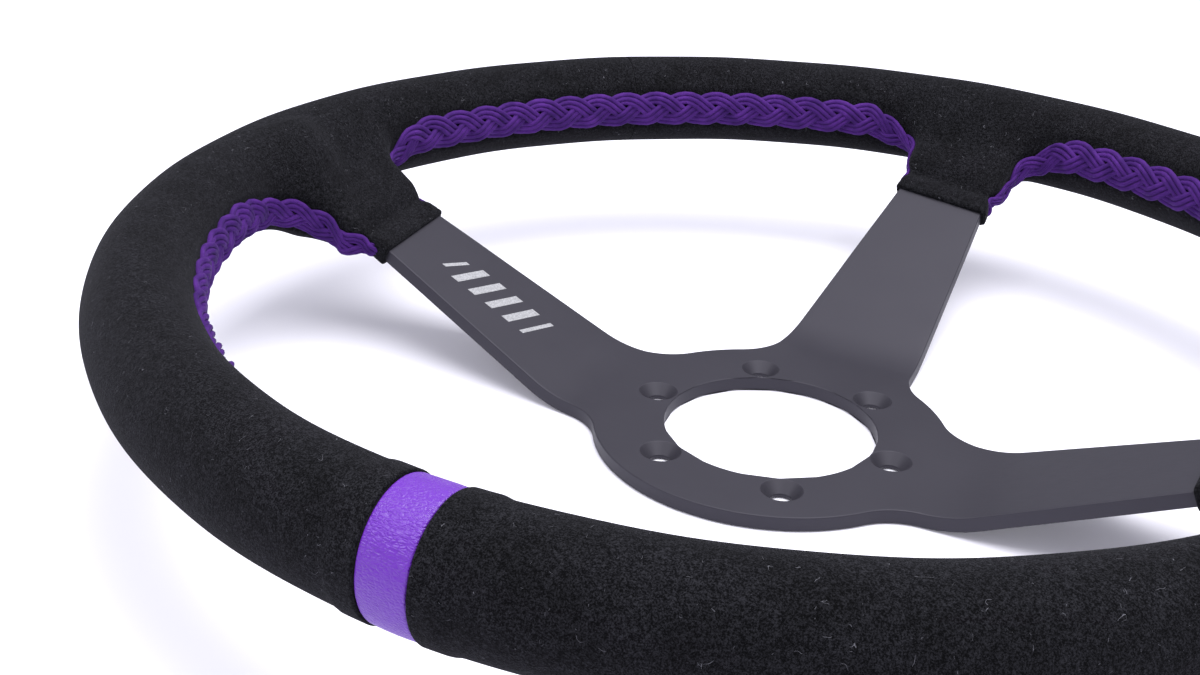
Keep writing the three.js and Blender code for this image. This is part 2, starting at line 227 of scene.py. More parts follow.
class Surface:
    """A material with a few short ways to add nodes to it."""

    def __init__(self, name, **values):
        self.material = bpy.data.materials.new(name)
        self.material.use_nodes = True
        self.tree = self.material.node_tree
        self.shader = self.tree.nodes["Principled BSDF"]
        for socket, value in values.items():
            self.shader.inputs[socket.replace("_", " ")].default_value = value
        self.place = self.add("ShaderNodeTexCoord").outputs["Object"]

    def add(self, kind, links=None, **settings):
        node = self.tree.nodes.new(kind)
        for name, value in settings.items():
            setattr(node, name, value)
        for socket, value in (links or {}).items():
            if isinstance(value, bpy.types.NodeSocket):
                self.tree.links.new(value, node.inputs[socket])
            else:
                node.inputs[socket].default_value = value
        return node

    def noise(self, size, detail=2.0, roughness=0.5, vector=None):
        """Noise whose spots are about `size` millimetres across."""
        links = {"Vector": vector or self.place, "Scale": 1 / (size * MM), "Detail": detail}
        links["Roughness"] = roughness
        return self.add("ShaderNodeTexNoise", links).outputs["Fac"]

    def cells(self, size, feature="F1", randomness=1.0, vector=None):
        """A Voronoi node with cells of `size` millimetres."""
        links = {"Vector": vector or self.place, "Scale": 1 / (size * MM)}
        links["Randomness"] = randomness
        return self.add("ShaderNodeTexVoronoi", links, feature=feature)

    def stretched(self, factors, turn=0.0):
        """Object coordinates turned about Z and scaled, for drawn-out grain."""
        links = {"Vector": self.place, "Scale": factors, "Rotation": (0.0, 0.0, turn)}
        return self.add("ShaderNodeMapping", links, vector_type="TEXTURE").outputs["Vector"]

    def math(self, operation, first, second=0.0):
        return self.add("ShaderNodeMath", {0: first, 1: second}, operation=operation).outputs[0]

    def vector_math(self, operation, links):
        return self.add("ShaderNodeVectorMath", links, operation=operation).outputs[0]

    def spread(self, value, low, high, to_low=0.0, to_high=1.0):
        links = {"Value": value, "From Min": low, "From Max": high}
        links.update({"To Min": to_low, "To Max": to_high})
        return self.add("ShaderNodeMapRange", links).outputs["Result"]

    def mix(self, factor, first, second):
        node = self.add("ShaderNodeMix", data_type="RGBA")
        for index, value in ((0, factor), (6, first), (7, second)):
            if isinstance(value, bpy.types.NodeSocket):
                self.tree.links.new(value, node.inputs[index])
            else:
                node.inputs[index].default_value = value
        return node.outputs[2]

    def bump(self, height, depth, strength=1.0, below=None):
        """A bump whose full height is `depth` millimetres."""
        links = {"Height": height, "Distance": depth * MM, "Strength": strength}
        if below is not None:
            links["Normal"] = below
        return self.add("ShaderNodeBump", links).outputs["Normal"]

    def set(self, **sockets):
        for socket, value in sockets.items():
            self.tree.links.new(value, self.shader.inputs[socket.replace("_", " ")])
        return self.material


def grey(value, blue=1.0):
    return (value, value, value * blue, 1.0)


def floor_material():
    surface = Surface("table_paper")
    tone = surface.mix(surface.noise(60.0), (0.85, 0.84, 0.92, 1.0), (0.87, 0.86, 0.93, 1.0))
    return surface.set(
        Base_Color=tone,
        Roughness=surface.spread(surface.noise(4.0), 0.0, 1.0, 0.55, 0.65),
        Normal=surface.bump(surface.noise(0.8, 4.0), 0.02, 0.3),
    )


def suede_material():
    surface = Surface(
        "black_suede", Sheen_Weight=0.05, Sheen_Roughness=0.45, Sheen_Tint=grey(0.6, 1.15),
        Specular_IOR_Level=0.05,
    )
    nap = surface.noise(0.34, 2.0, 0.75)
    tufts = surface.noise(0.9, 2.0, 0.6)
    brushed = surface.noise(9.0, 4.0, 0.55)
    fine_share = surface.math("MULTIPLY", nap, 0.7)
    grain = surface.math("ADD", fine_share, surface.math("MULTIPLY", tufts, 0.3))
    grain = surface.spread(grain, 0.44, 0.64)
    dark = surface.mix(grain, grey(0.0010, 1.3), grey(0.0145, 1.2))
    light = surface.mix(grain, grey(0.0020, 1.3), grey(0.022, 1.2))
    colour = surface.mix(surface.spread(brushed, 0.35, 0.65), dark, light)

    specks = surface.cells(2.6)
    own = surface.add("ShaderNodeSeparateColor", {"Color": specks.outputs["Color"]})
    limit = surface.spread(own.outputs["Red"], 0.35, 1.0, 0.008, 0.036)
    dust = surface.math("LESS_THAN", specks.outputs["Distance"], limit)

    # Stray hairs: short lengths of curled cell borders.
    curl = surface.add(
        "ShaderNodeTexNoise", {"Vector": surface.place, "Scale": 400.0, "Detail": 1.0}
    )
    sway = surface.vector_math("SUBTRACT", {0: curl.outputs["Color"], 1: (0.5, 0.5, 0.5)})
    sway = surface.vector_math("SCALE", {0: sway, "Scale": 0.004})
    swayed = surface.vector_math("ADD", {0: surface.place, 1: sway})
    lines = surface.cells(6.0, "DISTANCE_TO_EDGE", vector=swayed).outputs["Distance"]
    hairs = surface.math("LESS_THAN", lines, 0.005)
    kept = surface.math("GREATER_THAN", surface.noise(2.0, 1.0), 0.665)
    hairs = surface.math("MULTIPLY", hairs, kept)
    pale_dust = surface.math("MULTIPLY", dust, 0.45)
    lint = surface.math("MAXIMUM", pale_dust, surface.math("MULTIPLY", hairs, 0.6))
    colour = surface.mix(lint, colour, grey(0.16, 1.15))

    coarse = surface.bump(tufts, 0.22, 0.6)
    fine = surface.bump(nap, 0.20, 1.0, coarse)
    rough = surface.spread(brushed, 0.3, 0.7, 0.88, 0.99)
    return surface.set(Base_Color=colour, Roughness=rough, Normal=fine)


def leather_material():
    surface = Surface("purple_leather", Specular_IOR_Level=0.5)
    flat = surface.stretched((1.9, 1.0, 1.0), STRIPE_AZIMUTH - math.pi / 2)
    pores = surface.cells(0.62, "DISTANCE_TO_EDGE", vector=flat).outputs["Distance"]
    pebbles = surface.spread(pores, 0.0, 0.3)
    folds = surface.noise(0.9, 3.0, 0.6, flat)
    tone = surface.mix(folds, (0.096, 0.011, 0.310, 1.0), (0.112, 0.014, 0.355, 1.0))
    wrinkles = surface.bump(folds, 0.26, 0.7)
    grain = surface.bump(pebbles, 0.09, 0.8, wrinkles)
    rough = surface.spread(folds, 0.2, 0.8, 0.30, 0.42)
    return surface.set(Base_Color=tone, Roughness=rough, Normal=grain)


def thread_material(name, dark, light):
    surface = Surface(name, Sheen_Weight=0.02, Sheen_Roughness=0.4, Specular_IOR_Level=0.08)
    fibres = surface.noise(0.22, 4.0, 0.65)
    worn = surface.noise(5.0, 2.0)
    tone = surface.mix(surface.spread(worn, 0.3, 0.7), dark, light)
    colour = surface.mix(surface.spread(fibres, 0.3, 0.7), dark, tone)
    rough = surface.spread(fibres, 0.2, 0.8, 0.6, 0.8)
    return surface.set(Base_Color=colour, Roughness=rough, Normal=surface.bump(fibres, 0.12, 0.7))


def anodised_material():
    surface = Surface("satin_black_anodising", Metallic=0.45, Specular_IOR_Level=0.4)
    blast = surface.noise(0.18, 2.0)
    drawn = surface.noise(1.0, 3.0, 0.5, surface.stretched((14.0, 0.5, 1.0)))
    clouds = surface.noise(18.0, 2.0)
    base = surface.mix(clouds, (0.028, 0.026, 0.036, 1.0), (0.034, 0.032, 0.043, 1.0))
    streak = surface.spread(drawn, 0.3, 0.8, 0.0, 0.35)
    colour = surface.mix(streak, base, (0.040, 0.038, 0.050, 1.0))
    rough = surface.spread(clouds, 0.3, 0.7, 0.50, 0.57)
    rough = surface.math("ADD", rough, surface.spread(drawn, 0.3, 0.7, -0.02, 0.03))
    return surface.set(
        Base_Color=colour, Roughness=rough, Normal=surface.bump(blast, 0.012, 0.5)
    )


def bare_metal_material(name):
    surface = Surface(name, Metallic=1.0)
    drawn = surface.noise(1.0, 3.0, 0.5, surface.stretched((9.0, 0.6, 1.0)))
    colour = surface.mix(drawn, grey(0.55), grey(0.68))
    rough = surface.spread(drawn, 0.2, 0.8, 0.3, 0.5)
    return surface.set(Base_Color=colour, Roughness=rough, Normal=surface.bump(drawn, 0.02))


def foam_material():
    surface = Surface("moulded_foam")
    pores = surface.cells(0.6).outputs["Distance"]
    colour = surface.mix(surface.noise(6.0), grey(0.012), grey(0.02))
    rough = surface.spread(pores, 0.0, 0.8, 0.8, 0.95)
    return surface.set(Base_Color=colour, Roughness=rough, Normal=surface.bump(pores, 0.1))


def print_material():
    surface = Surface("silver_print", Metallic=0.35)
    worn = surface.noise(0.5, 3.0, 0.6)
    colour = surface.mix(surface.spread(worn, 0.3, 0.7), grey(0.24, 1.05), grey(0.44, 1.05))
    rough = surface.spread(worn, 0.2, 0.8, 0.35, 0.55)
    return surface.set(Base_Color=colour, Roughness=rough, Normal=surface.bump(worn, 0.01))


# ------------------------------------------------------------------ pieces


def make_piece(name, points, faces, material, slot=None, replaced=(), smooth=True):
    """A mesh piece from points in millimetres, riding on the wheel's one body."""
    mesh = bpy.data.meshes.new(name)
    mesh.from_pydata([tuple(p) for p in (np.asarray(points) * MM).tolist()], [], faces)
    mesh.validate()
    mesh.polygons.foreach_set("use_smooth", [smooth] * len(mesh.polygons))
    mesh.materials.append(material)
    piece = bpy.data.objects.new(name, mesh)
    bpy.context.collection.objects.link(piece)
    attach(piece, "root")
    if replaced:
        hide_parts(*replaced)
    return piece


def only_used(points, faces):
    """The points that some face uses, and the faces renumbered to them."""
    used = np.unique(np.concatenate(faces))
    renumber = np.full(len(points), -1)
    renumber[used] = np.arange(len(used))
    return points[used], [renumber[face].tolist() for face in faces]


def smoothstep(value):
    t = np.clip(value, 0.0, 1.0)
    return t * t * (3 - 2 * t)


def unit(vectors):
    return vectors / np.maximum(np.linalg.norm(vectors, axis=-1, keepdims=True), 1e-12)


# ------------------------------------------------------------------ shapes as distances


def rounded_corner(first, second, radius):
    """The part that two distances share, with its edge rounded."""
    a, b = first + radius, second + radius
    outside = np.hypot(np.maximum(a, 0), np.maximum(b, 0))
    return outside + np.minimum(np.maximum(a, b), 0) - radius


def round_union(first, second, radius):
    """Two shapes joined with a round fillet."""
    corner = np.hypot(np.maximum(radius - first, 0), np.maximum(radius - second, 0))
    return np.maximum(radius, np.minimum(first, second)) - corner


def in_spoke(p, azimuth):
    """Distance along a spoke's direction, and sideways from it."""
    along = p[..., 0] * math.cos(azimuth) + p[..., 1] * math.sin(azimuth)
    side = p[..., 1] * math.cos(azimuth) - p[..., 0] * math.sin(azimuth)
    return along, side


def middle_height(along):
    return PLATE / 2 + SPOKE_RISE * (along - BEND_AT)


def grip_distance(p):
    """Distance to the plain grip, an oval ring that is very slightly uneven."""
    radial = np.hypot(p[..., 0], p[..., 1]) - RIM_RADIUS
    height = p[..., 2] - RIM_Z
    a, b = GRIP_WIDTH / 2, GRIP_HEIGHT / 2
    near = np.hypot(radial / a, height / b)
    slope = np.hypot(radial / a**2, height / b**2)
    azimuth = np.arctan2(p[..., 1], p[..., 0])
    turn = np.arctan2(height, radial)
    waves = 0.09 * np.sin(9 * azimuth + 2 * turn) + 0.07 * np.sin(23 * azimuth - turn + 1.0)
    return near * (near - 1) / np.maximum(slope, 1e-6) - waves


def collar_wall(beyond):
    """Thickness of a collar over the plate: a thin hem, a crease, and padding beyond it."""
    share = smoothstep((beyond - HEM_LENGTH) / HEM_RAMP)
    groove = HEM_GROOVE * np.exp(-(((beyond - HEM_LENGTH) / 2.0) ** 2))
    growth = COLLAR_GROWTH * np.clip(beyond - HEM_LENGTH - HEM_RAMP / 2, 0, 25)
    return HEM_WALL + (COLLAR_WALL - HEM_WALL) * share - groove + growth


def thumb_share(p, azimuth):
    """1 over a collar's side that has a thumb rest, fading to 0 over its middle."""
    _, side = in_spoke(p, azimuth)
    return smoothstep(side * THUMB_SIDE[azimuth] / 14) if THUMB_SIDE[azimuth] else side * 0.0


def slab_distance(p, azimuth, wall, edge, thumb=0.0):
    """Distance to the spoke's straight sheet, thickened all round by `wall`."""
    along, side = in_spoke(p, azimuth)
    above = (p[..., 2] - middle_height(along)) * math.cos(SPOKE_ANGLE)
    half_width = SPOKE_HALF_WIDTH + wall + THUMB_WIDTH * thumb - SPOKE_TAPER * along
    half_height = PLATE / 2 + wall + np.where(above < 0, THUMB_DEPTH, 0.0) * thumb
    return rounded_corner(np.abs(side) - half_width, np.abs(above) - half_height, edge)


def past_end(p, azimuth, end, slant):
    """How far a point lies on the hub's side of a collar's end, measured along the slope."""
    along, side = in_spoke(p, azimuth)
    rise = (p[..., 2] - middle_height(end)) * math.sin(SPOKE_ANGLE)
    return slant * side - (along - end) * math.cos(SPOKE_ANGLE) - rise


def collar_distance(p, azimuth, end, slant):
    past = past_end(p, azimuth, end, slant)
    wall = collar_wall(-past)
    thumb = thumb_share(p, azimuth) * smoothstep((-past - 3) / 10)
    body = slab_distance(p, azimuth, wall, wall + 0.4, thumb)
    body = rounded_corner(body, past, COLLAR_END_EDGE)
    return np.maximum(body, in_spoke(p, azimuth)[0] - (GRIP_INNER + 2))


def skin_distance(p):
    """Distance to the outside of the cover; the collars shape only the grip's inner half."""
    grip = grip_distance(p)
    distance = grip
    for azimuth, end, slant in SPOKES.values():
        flare = FLARE + (THUMB_FLARE - FLARE) * thumb_share(p, azimuth)
        distance = round_union(distance, collar_distance(p, azimuth, end, slant), flare)
    inner = smoothstep((RIM_RADIUS + 1 - np.hypot(p[..., 0], p[..., 1])) / 14)
    return grip + (distance - grip) * inner


def foam_distance(p):
    radial = np.abs(np.hypot(p[..., 0], p[..., 1]) - (CORE_INNER + core_high[0]) / 2)
    core = np.maximum(
        radial - (core_high[0] - CORE_INNER) / 2, np.abs(p[..., 2] - RIM_Z) - 2.0
    )
    distance = np.maximum(skin_distance(p) + FOAM_DEPTH, 0.3 - core)
    for azimuth, _, _ in SPOKES.values():
        distance = np.maximum(distance, 0.2 - slab_distance(p, azimuth, 0.0, 0.1))
    return distance


def slope_of(distance, p, step=0.15):
    """The unit direction in which a distance grows."""
    result = np.empty_like(p)
    for axis in range(3):
        offset = np.zeros(3)
        offset[axis] = step
        result[..., axis] = distance(p + offset) - distance(p - offset)
    return unit(result)


def onto(distance, p, rounds=3):
    """Points moved onto a shape's surface."""
    for _ in range(rounds):
        p = p - slope_of(distance, p) * distance(p)[..., None]
    return p


def surface_of(distance, low, high, step):
    """Quads over a shape's surface, by surface nets on a regular grid."""
    axes = [np.arange(a, b + step, step) for a, b in zip(low, high)]
    values = np.empty([len(a) for a in axes])
    for i, x in enumerate(axes[0]):
        y, z = np.meshgrid(axes[1], axes[2], indexing="ij")
        values[i] = distance(np.stack([np.full_like(y, x), y, z], axis=-1))
    inside = values < 0
    corners = [(i, j, k) for i in (0, 1) for j in (0, 1) for k in (0, 1)]
    size = [n - 1 for n in values.shape]

    def shifted(grid, corner):
        i, j, k = corner
        return grid[i : i + size[0], j : j + size[1], k : k + size[2]]

    count = sum(shifted(inside, c).astype(np.int8) for c in corners)
    cells = np.argwhere((count > 0) & (count < 8))
    total = np.zeros((len(cells), 3))
    number = np.zeros(len(cells))
    for first in corners:
        for axis in range(3):
            if first[axis]:
                continue
            second = tuple(1 if n == axis else first[n] for n in range(3))
            a = values[tuple((cells + first).T)]
            b = values[tuple((cells + second).T)]
            crosses = (a < 0) != (b < 0)
            share = np.where(crosses, a / np.where(crosses, a - b, 1.0), 0.0)
            point = np.array(first) + share[:, None] * (np.array(second) - np.array(first))
            total += np.where(crosses[:, None], point, 0.0)
            number += crosses
    points = np.array(low) + (cells + total / number[:, None]) * step
    index = np.full(size, -1)
    index[tuple(cells.T)] = np.arange(len(cells))

    quads = []
    for axis in range(3):
        ahead = np.zeros(3, int)
        ahead[axis] = 1
        here = inside[tuple(slice(0, n - d) for n, d in zip(values.shape, ahead))]
        there = inside[tuple(slice(d, n) for n, d in zip(values.shape, ahead))]
        edges = np.argwhere(here != there)
        u, v = (np.eye(3, dtype=int)[(axis + n) % 3] for n in (1, 2))
        ring = [index[tuple((edges - o).T)] for o in (0 * u, u, u + v, v)]
        quad = np.stack(ring, axis=1)
        flip = there[tuple(edges.T)]
        quad[flip] = quad[flip][:, ::-1]
        quads.append(quad)
    return points, np.concatenate(quads)


# ------------------------------------------------------------------ lacing line


def arc_points(x, y, radius, first, last, steps):
    turns = np.linspace(first, last, steps)
    return np.stack([x + radius * np.cos(turns), y + radius * np.sin(turns)], axis=1)


def corner_centre(radius, wider, centre_distance):
    """Centre of an arc between a spoke's side, moved out by `wider`, and a circle on the axis."""
    reach = SPOKE_HALF_WIDTH + wider + radius * math.hypot(1, SPOKE_TAPER)
    a = 1 + SPOKE_TAPER**2
    b = -2 * SPOKE_TAPER * reach
    c = reach**2 - centre_distance**2
    x = (-b + math.sqrt(b**2 - 4 * a * c)) / (2 * a)
    return x, reach - SPOKE_TAPER * x


def at_steps(steps, lengths, vectors):
    """Vectors given at `lengths` along a line, read off at `steps`."""
    return np.stack([np.interp(steps, lengths, vectors[:, n]) for n in range(3)], axis=1)


def flare_line(azimuth, end, sign):
    """The lacing's line in plan from a collar's end to the rim: rows of (along, side)."""
    thumb = THUMB_SIDE[azimuth] == sign
    flare = THUMB_FLARE if thumb else FLARE
    wider = COLLAR_WALL + 2 + (THUMB_WIDTH if thumb else 0)
    x, y = corner_centre(flare, wider, GRIP_INNER - flare)
    first = -math.pi / 2 - math.atan(SPOKE_TAPER)
    arc = arc_points(x, y, flare, first, math.atan2(y, x), ARC_STEPS)
    straight = np.linspace(min(end, arc[0, 0] - 1), arc[0, 0], STRAIGHT_STEPS, endpoint=False)
    wide = SPOKE_HALF_WIDTH + COLLAR_WALL - SPOKE_TAPER * straight
    line = np.concatenate([np.stack([straight, wide], axis=1), arc])
    return line * (1, sign)


def lace_line(start, finish, rim_height):
    """Points on the cover along one window, evenly spaced, with the band's crosswise direction."""
    ends, sides = [], []
    for name, sign in ((start, 1), (finish, -1)):
        azimuth, end, _ = SPOKES[name]
        along, side = flare_line(azimuth, end, sign).T
        c, s = math.cos(azimuth), math.sin(azimuth)
        ends.append(np.stack([along * c - side * s, along * s + side * c], axis=1)[::sign])
        sides.append((azimuth, int(THUMB_SIDE[azimuth] == sign)))
    first, last = ends[0][-1], ends[1][0]
    from_azimuth = math.atan2(first[1], first[0])
    to_azimuth = math.atan2(last[1], last[0])
    if to_azimuth < from_azimuth:
        to_azimuth += 2 * math.pi
    azimuths = np.linspace(from_azimuth, to_azimuth, 240)[1:-1]
    rim = np.stack([np.cos(azimuths), np.sin(azimuths)], axis=1) * GRIP_INNER
    plan = np.concatenate([ends[0], rim, ends[1]])
    length = np.concatenate([[0], np.cumsum(np.linalg.norm(np.diff(plan, axis=0), axis=1))])
    past_straight = (length - length[STRAIGHT_STEPS], length[-STRAIGHT_STEPS - 1] - length)
    height = np.full(len(plan), rim_height)
    across = np.tile([0.0, 0.0, 1.0], (len(plan), 1))
    scale = np.ones(len(plan))
    for (azimuth, thumb), past in zip(sides, past_straight):
        here = past < LACE_RAMP[thumb]
        share = smoothstep(past[here] / LACE_RAMP[thumb])
        c, s = math.cos(azimuth), math.sin(azimuth)
        along = np.minimum(plan[here] @ np.array([c, s]), GRIP_INNER - 2)
        low = middle_height(along) - LACE_DROP[thumb]
        height[here] = low * (1 - share) + rim_height * share
        lean = (1 - share) * SPOKE_ANGLE
        across[here] = np.stack([-np.sin(lean) * c, -np.sin(lean) * s, np.cos(lean)], axis=1)
        scale[here] = COLLAR_LACE_SCALE[thumb] + (1 - COLLAR_LACE_SCALE[thumb]) * share
    p = onto(skin_distance, np.column_stack([plan, height]), 4)
    length = np.concatenate([[0], np.cumsum(np.linalg.norm(np.diff(p, axis=0), axis=1))])
    steps = np.arange(0, length[-1], 0.5)
    return {
        "steps": steps,
        "points": at_steps(steps, length, p),
        "across": unit(at_steps(steps, length, across)),
        "scale": np.interp(steps, length, scale),
        "pull": smoothstep((np.minimum(steps, steps[-1] - steps) - 2) / 6),
    }


WINDOWS = {
    "lacing_top": lace_line("right", "left", LACE_Z["lacing_top"]),
    "lacing_lower_left": lace_line("left", "bottom", LACE_Z["lacing_lower_left"]),
    "lacing_lower_right": lace_line("bottom", "right", LACE_Z["lacing_lower_right"]),
}

lace_points, lace_across, lace_scale, lace_pull = (
    np.concatenate([line[key] for line in WINDOWS.values()])
    for key in ("points", "across", "scale", "pull")
)
lace_tree = KDTree(len(lace_points))
for number, point in enumerate(lace_points):
    lace_tree.insert(point, number)
lace_tree.balance()


def pulled_in(p):
    """How far the lacing pulls the cover in, with a groove where the cover's edges meet."""
    depth = np.zeros(len(p))
    near = np.hypot(p[:, 0], p[:, 1]) < RIM_RADIUS
    for i in np.flatnonzero(near):
        _, nearest, gap = lace_tree.find(p[i])
        if gap > PULL_REACH:
            continue
        offset = abs(float(np.dot(p[i] - lace_points[nearest], lace_across[nearest])))
        offset /= lace_scale[nearest]
        edge = min(max((PULL_HALF_WIDTH - offset) / PULL_FADE, 0.0), 1.0)
        groove = GROOVE_DEPTH * math.exp(-((offset / GROOVE_WIDTH) ** 2))
        depth[i] = PULL_DEPTH * edge * edge * (3 - 2 * edge) + groove
        depth[i] *= lace_pull[nearest]
    return depth


# ------------------------------------------------------------------ cover


def lateral(p, azimuth):
    """Distance sideways from a plane through the axis, positive anticlockwise."""
    return p[..., 1] * math.cos(azimuth) - p[..., 0] * math.sin(azimuth)


def on_side(p, azimuth):
    """Whether a point is on a seam's side of the wheel, well off the axis."""
    return p[..., 0] * math.cos(azimuth) + p[..., 1] * math.sin(azimuth) > 60


SUEDE_ROWS = (0.0, 0.22, 0.5, 0.85, 1.3, 2.0, 3.0)
SEAM_RIDGE = 0.45  # how far the turned-in edge lifts the suede beside the stripe
SEAM_TURN_IN = 6.7  # how far the turned-in edge reaches from the stripe
SEAM_RAMP = 2.6  # over which that ridge fades out
SEAM_REACH = 16
LOWER_SEAM_GAP = 0.04

# Each seam's azimuth, how far each side stands from it, and the radius of its folded edges.
SEAMS = [(STRIPE_AZIMUTH, STRIPE_HALF_WIDTH + SEAM_GAP, 0.55)]
SEAMS += [(azimuth, LOWER_SEAM_GAP, 0.2) for azimuth in LOWER_SEAMS]


def cut_near(bm, close, planes):
    """Cuts the faces that `close` picks along planes given as (point, normal)."""
    middles = np.array([f.calc_center_median() for f in bm.faces])
    bm.faces.ensure_lookup_table()
    geometry = [bm.faces[i] for i in np.flatnonzero(close(middles))]
    geometry += list({e for f in geometry for e in f.edges})
    geometry += list({v for f in geometry if isinstance(f, bmesh.types.BMFace) for v in f.verts})
    for point, normal in planes:
        cut = bmesh.ops.bisect_plane(
            bm, geom=geometry, dist=1e-5, plane_co=point, plane_no=normal
        )
        geometry = cut["geom"]


def plate_opening_planes(azimuth, end):
    """Planes along the spoke's faces and sides where it enters a collar."""
    along = Vector((math.cos(azimuth), math.sin(azimuth), 0))
    across = Vector((-math.sin(azimuth), math.cos(azimuth), 0))
    normal = Vector((0, 0, 1)) * math.cos(SPOKE_ANGLE) - along * math.sin(SPOKE_ANGLE)
    middle = along * end + Vector((0, 0, middle_height(end)))
    half = PLATE / 2 + 0.12
    wide = SPOKE_HALF_WIDTH - SPOKE_TAPER * end + 0.12
    return [
        (middle + normal * half, normal),
        (middle - normal * half, normal),
        (middle + across * wide, across + along * SPOKE_TAPER),
        (middle - across * wide, across - along * SPOKE_TAPER),
    ]


def in_plate_opening(p, azimuth, end, slant):
    at_end = np.abs(past_end(p, azimuth, end, slant)) < 0.3
    return at_end & (slab_distance(p, azimuth, 0.12, 1e-3) < 0)


def cover_mesh():
    """The cover's outside as one bmesh, cut along its seams and round the spokes."""
    low = (-RIM_OUTER - 2, -RIM_OUTER - 2, 12)
    high = (RIM_OUTER + 2, RIM_OUTER + 2, RIM_Z + GRIP_HEIGHT / 2 + 2)
    points, quads = surface_of(skin_distance, low, high, 1.0)
    points = onto(skin_distance, points)
    mesh = bpy.data.meshes.new("cover")
    mesh.from_pydata(points.tolist(), [], quads.tolist())
    bm = bmesh.new()
    bm.from_mesh(mesh)
    bpy.data.meshes.remove(mesh)
    for azimuth, edge, _ in SEAMS:
        across = Vector((-math.sin(azimuth), math.cos(azimuth), 0))
        planes = [
            (across * side * (edge + row), across) for side in (1, -1) for row in SUEDE_ROWS
        ]
        reach = edge + SUEDE_ROWS[-1] + 2
        cut_near(bm, lambda p: on_side(p, azimuth) & (np.abs(lateral(p, azimuth)) < reach), planes)
    for azimuth, end, slant in SPOKES.values():
        cut_near(
            bm,
            lambda p: np.abs(past_end(p, azimuth, end, slant)) < 0.9,
            plate_opening_planes(azimuth, end),
        )
    return bm


def seam_profile(p):
    """Height of the cover above its plain shape, from the folded edges at the seams."""
    height = np.zeros(len(p))
    for azimuth, edge, fold in SEAMS:
        inwards = np.abs(lateral(p, azimuth)) - edge
        near = on_side(p, azimuth) & (inwards < SEAM_REACH)
        inwards = np.maximum(inwards, 0)
        roll = np.sqrt(np.maximum(fold**2 - np.maximum(fold - inwards, 0) ** 2, 0)) - fold
        ridge = SEAM_RIDGE * (1 - smoothstep((inwards - SEAM_TURN_IN + SEAM_RAMP / 2) / SEAM_RAMP))
        ridge = ridge if azimuth == STRIPE_AZIMUTH else 0
        height += np.where(near, roll + ridge, 0)
    return height


def make_cover():
    bm = cover_mesh()
    bm.verts.ensure_lookup_table()
    points = np.array([v.co for v in bm.verts])
    faces = [[v.index for v in f.verts] for f in bm.faces]
    bm.free()
    middles = np.array([points[f].mean(axis=0) for f in faces])
    azimuths = np.degrees(np.arctan2(middles[:, 1], middles[:, 0]))
    turned = (azimuths + 135) % 360
    stripe_at = math.degrees(STRIPE_AZIMUTH) + 135
    panel = np.where(turned < 90, 1, np.where(turned < stripe_at, 0, 2))
    for azimuth, edge, _ in SEAMS:
        panel[on_side(middles, azimuth) & (np.abs(lateral(middles, azimuth)) < edge)] = -1
    for azimuth, end, slant in SPOKES.values():
        panel[in_plate_opening(middles, azimuth, end, slant)] = -1

    height = seam_profile(points) - pulled_in(points)
    points = points + slope_of(skin_distance, points) * height[:, None]
    suede = suede_material()
    for number, name in enumerate(("right", "bottom", "left")):
        own = only_used(points, [faces[i] for i in np.flatnonzero(panel == number)])
        node = f"suede_panel_{name}"
        piece = make_piece(f"{node}_cover", *own, suede, "suede", [node])
        add_thickness(piece, SKIN)


def add_thickness(piece, thickness):
    solid = piece.modifiers.new("thickness", "SOLIDIFY")
    solid.thickness = thickness * MM
    solid.offset = -1
    solid.use_even_offset = False


def make_foam():
    low = (-RIM_OUTER, -RIM_OUTER, 12)
    high = (RIM_OUTER, RIM_OUTER, RIM_Z + GRIP_HEIGHT / 2 + 2)
    points, quads = surface_of(foam_distance, low, high, 1.8)
    make_piece(
        "grip_foam_body", points, quads.tolist(), foam_material(), "moulded_foam", ["grip_foam"]
    )


def on_grip(lateral_offset, turn, height):
    """A point over the plain grip near the stripe: sideways, round the section and outwards."""
    a, b = GRIP_WIDTH / 2, GRIP_HEIGHT / 2
    radius = RIM_RADIUS + a * np.cos(turn)
    along = np.sqrt(radius**2 - lateral_offset**2)
    c, s = math.cos(STRIPE_AZIMUTH), math.sin(STRIPE_AZIMUTH)
    x = along * c - lateral_offset * s
    y = along * s + lateral_offset * c
    p = np.stack([x, y, RIM_Z + b * np.sin(turn)], axis=-1)
    p = onto(skin_distance, p, 2)
    return p + slope_of(skin_distance, p) * height[..., None]


def make_stripe():
    half, roll_radius = STRIPE_HALF_WIDTH, 0.5
    inner = np.linspace(-1, 1, 33) * (half - roll_radius)
    rim = half - roll_radius + roll_radius * np.array([0.28, 0.5, 0.7, 0.83, 0.93, 1.0])
    across = np.concatenate([-rim[::-1], inner, rim])
    turns = np.linspace(0, 2 * math.pi, 300, endpoint=False)
    w, t = np.meshgrid(across, turns, indexing="ij")
    inwards = half - np.abs(w)
    roll = np.maximum(roll_radius - inwards, 0)
    roll = np.sqrt(np.maximum(roll_radius**2 - roll**2, 0)) - roll_radius
    puff = 0.12 * np.cos(w / half * math.pi / 2)
    wrinkle = 0.03 * np.sin(w * 2.3 + 3 * np.sin(t * 17)) * np.sin(t * 61 + w)
    p = on_grip(w, t, roll + puff + wrinkle)
    sunk = 0.85 * pulled_in(p.reshape(-1, 3)).reshape(w.shape)
    p = p - slope_of(skin_distance, p) * sunk[..., None]
    rows, columns = w.shape
    index = np.arange(rows * columns).reshape(rows, columns)
    ahead = np.roll(index, -1, axis=1)
    quads = np.stack([index[:-1], index[1:], ahead[1:], ahead[:-1]], axis=-1).reshape(-1, 4)
    piece = make_piece(
        "centre_stripe_leather", p.reshape(-1, 3), quads.tolist(), leather_material(),
        "stripe_leather", ["centre_stripe"],
    )
    add_thickness(piece, SKIN)


# ------------------------------------------------------------------ threads


